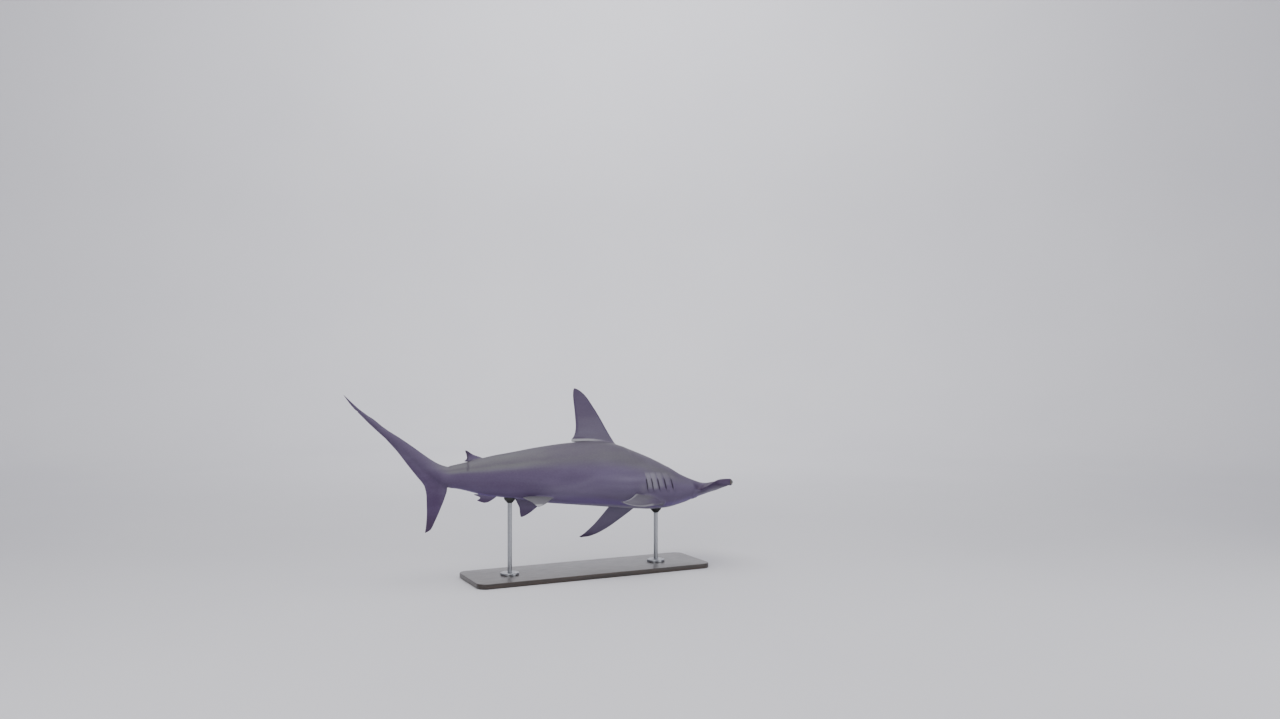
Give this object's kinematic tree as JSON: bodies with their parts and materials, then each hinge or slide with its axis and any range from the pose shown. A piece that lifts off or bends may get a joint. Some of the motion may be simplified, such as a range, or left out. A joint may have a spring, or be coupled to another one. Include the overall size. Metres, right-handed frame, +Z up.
{
  "type": "hammerhead shark model",
  "caption": "Life-size scalloped hammerhead shark, swimming and gently banked, held over a flat base by two upright rods.",
  "frame": {"origin": "middle of the base's underside, on the floor", "axes": "+X the way the shark swims, +Z up, its left side towards +Y"},
  "size_m": [2.3323, 0.6823, 1.1196],
  "materials": {
    "hide": "satin wet hide",
    "hide_dark": "satin wet hide",
    "eye": "polished",
    "base": "satin black lacquer",
    "rod": "brushed",
    "saddle": "matt"
  },
  "bodies": {
    "root": {"head": "hide", "gills": "hide", "trunk_front": "hide", "trunk_rear": "hide", "tail_stalk": "hide", "caudal_fin_upper": "hide", "caudal_fin_lower": "hide_dark", "dorsal_fin_first": "hide", "dorsal_fin_second": "hide_dark", "anal_fin": "hide_dark", "pectoral_fin_left": "hide_dark", "pectoral_fin_right": "hide_dark", "pelvic_fin_left": "hide_dark", "pelvic_fin_right": "hide_dark", "eye_left": "eye", "eye_right": "eye", "stand_base": "base", "stand_flange_front": "rod", "stand_flange_rear": "rod", "stand_rod_front": "rod", "stand_rod_rear": "rod", "stand_saddle_front": "saddle", "stand_saddle_rear": "saddle"}
  },
  "joints": []
}
